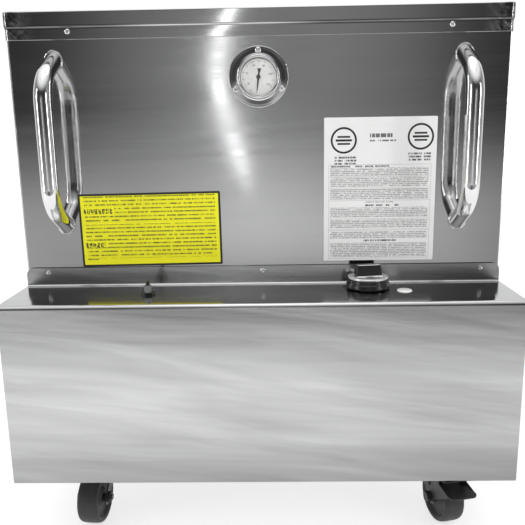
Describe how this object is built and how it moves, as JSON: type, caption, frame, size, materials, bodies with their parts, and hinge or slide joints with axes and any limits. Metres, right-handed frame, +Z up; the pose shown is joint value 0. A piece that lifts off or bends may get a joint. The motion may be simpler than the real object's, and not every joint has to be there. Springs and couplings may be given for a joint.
{
  "type": "heated parts washer tank",
  "caption": "Insulated stainless parts washer tank on castors, with a control box, thermometer, tubular handles, lift-off lid and lifting basket.",
  "frame": {"origin": "on the floor, at the middle of the whole footprint from the control box's front to the drain valve's mouth", "axes": "+Z up; the front with the handles and control box looks along -Y; +X is to the right of someone facing the front"},
  "size_m": [0.7064, 0.692, 0.7868],
  "materials": {
    "brushed_steel": "satin",
    "mill_steel": "satin",
    "polished_steel": "polished",
    "zinc_plate": "satin",
    "black_steel": "satin",
    "brass": "satin",
    "copper": "satin",
    "black_plastic": "satin",
    "black_enamel": "satin",
    "grey_plastic": "matte",
    "tyre_black": "matte",
    "mineral_wool": "matte",
    "white_label": "satin",
    "yellow_label": "satin",
    "dial_white": "satin",
    "lamp_white": "gloss",
    "clear_glass": "gloss"
  },
  "bodies": {
    "tank": {"outer_casing": "brushed_steel", "rim_frame": "brushed_steel", "control_box_cover": "brushed_steel", "control_box_end_left": "brushed_steel", "control_box_end_right": "brushed_steel", "tank_liner": "mill_steel", "base_pan": "mill_steel", "basket_rail_left": "mill_steel", "basket_rail_right": "mill_steel", "heating_element": "mill_steel", "drain_pipe": "mill_steel", "handle_left": "polished_steel", "handle_right": "polished_steel", "thermometer_flange": "polished_steel", "thermometer_bezel": "polished_steel", "thermometer_stem": "polished_steel", "reset_collar": "zinc_plate", "castor_plate_front_left": "zinc_plate", "castor_plate_front_right": "zinc_plate", "castor_plate_rear_left": "zinc_plate", "castor_plate_rear_right": "zinc_plate", "heater_flange": "brass", "drain_valve_body": "brass", "thermostat_bulb": "copper", "cable_gland": "black_plastic", "limit_thermostat_body": "black_plastic", "pilot_lamp_body": "black_plastic", "contactor": "grey_plastic", "thermostat_body": "grey_plastic", "terminal_block": "grey_plastic", "insulation_jacket": "mineral_wool", "insulation_floor": "mineral_wool", "rating_label": "white_label", "notice_label": "yellow_label", "thermometer_dial": "dial_white", "pilot_lamp_lens": "lamp_white", "thermometer_glass": "clear_glass"},
    "thermostat_knob": {"thermostat_knob": "black_plastic", "knob_ring": "polished_steel"},
    "thermometer_needle": {"thermometer_pointer": "black_enamel"},
    "reset_plunger": {"reset_button": "lamp_white"},
    "tank_lid": {"lid": "brushed_steel", "lid_handle": "polished_steel"},
    "lifting_basket": {"basket": "mill_steel"},
    "drain_key": {"drain_ball": "polished_steel", "drain_lever": "zinc_plate"},
    "castor_swivel_front_left": {"castor_fork_front_left": "black_steel", "castor_axle_front_left": "zinc_plate"},
    "castor_roller_front_left": {"castor_wheel_front_left": "tyre_black"},
    "castor_swivel_front_right": {"castor_fork_front_right": "black_steel", "castor_axle_front_right": "zinc_plate"},
    "castor_roller_front_right": {"castor_wheel_front_right": "tyre_black"},
    "castor_swivel_rear_left": {"castor_fork_rear_left": "black_steel", "castor_axle_rear_left": "zinc_plate"},
    "castor_roller_rear_left": {"castor_wheel_rear_left": "tyre_black"},
    "castor_swivel_rear_right": {"castor_fork_rear_right": "black_steel", "castor_axle_rear_right": "zinc_plate"},
    "castor_roller_rear_right": {"castor_wheel_rear_right": "tyre_black"},
    "castor_brake_front_right": {"brake_pedal_front_right": "black_steel"}
  },
  "joints": [
    {"name": "thermostat_turn", "type": "hinge", "parent": "tank", "child": "thermostat_knob", "pos_m": [0.153, -0.2645, 0.357], "axis": [0, 0, 1], "range_deg": [-270, 0]},
    {"name": "needle_sweep", "type": "hinge", "parent": "tank", "child": "thermometer_needle", "pos_m": [0.0005, -0.23, 0.6545], "axis": [0, 1, 0], "range_deg": [0, 300]},
    {"name": "reset_press", "type": "slide", "parent": "tank", "child": "reset_plunger", "axis": [0, 0, -1], "range_m": [0, 0.003], "stiffness_N_per_m": 400},
    {"name": "lid_lift", "type": "slide", "parent": "tank", "child": "tank_lid", "axis": [0, 0, 1], "range_m": [0, 0.65]},
    {"name": "basket_lift", "type": "slide", "parent": "tank", "child": "lifting_basket", "axis": [0, 0, 1], "range_m": [0, 0.52]},
    {"name": "drain_turn", "type": "hinge", "parent": "tank", "child": "drain_key", "pos_m": [-0.2, 0.318, 0.207], "axis": [0, 0, 1], "range_deg": [0, 90]},
    {"name": "castor_swivel_front_left", "type": "hinge", "parent": "tank", "child": "castor_swivel_front_left", "pos_m": [-0.256, -0.254, 0.088], "axis": [0, 0, 1], "continuous": true},
    {"name": "wheel_roll_front_left", "type": "hinge", "parent": "castor_swivel_front_left", "child": "castor_roller_front_left", "pos_m": [-0.25809, -0.27791, 0.038], "axis": [0.9962, -0.0872, 0], "continuous": true},
    {"name": "castor_swivel_front_right", "type": "hinge", "parent": "tank", "child": "castor_swivel_front_right", "pos_m": [0.264, -0.254, 0.088], "axis": [0, 0, 1], "continuous": true},
    {"name": "wheel_roll_front_right", "type": "hinge", "parent": "castor_swivel_front_right", "child": "castor_roller_front_right", "pos_m": [0.26981, -0.27729, 0.038], "axis": [0.9703, 0.2419, 0], "continuous": true},
    {"name": "brake_press_front_right", "type": "hinge", "parent": "castor_swivel_front_right", "child": "castor_brake_front_right", "pos_m": [0.26981, -0.27729, 0.038], "axis": [0.9703, 0.2419, 0], "range_deg": [0, 14]},
    {"name": "castor_swivel_rear_left", "type": "hinge", "parent": "tank", "child": "castor_swivel_rear_left", "pos_m": [-0.256, 0.215, 0.088], "axis": [0, 0, 1], "continuous": true},
    {"name": "wheel_roll_rear_left", "type": "hinge", "parent": "castor_swivel_rear_left", "child": "castor_roller_rear_left", "pos_m": [-0.25101, 0.23848, 0.038], "axis": [-0.9781, 0.2079, 0], "continuous": true},
    {"name": "castor_swivel_rear_right", "type": "hinge", "parent": "tank", "child": "castor_swivel_rear_right", "pos_m": [0.264, 0.215, 0.088], "axis": [0, 0, 1], "continuous": true},
    {"name": "wheel_roll_rear_right", "type": "hinge", "parent": "castor_swivel_rear_right", "child": "castor_roller_rear_right", "pos_m": [0.2554, 0.23741, 0.038], "axis": [-0.9336, -0.3584, 0], "continuous": true}
  ],
  "couplings": [
    {"joint": "basket_lift", "follows": "lid_lift", "ratio": 0.8}
  ]
}
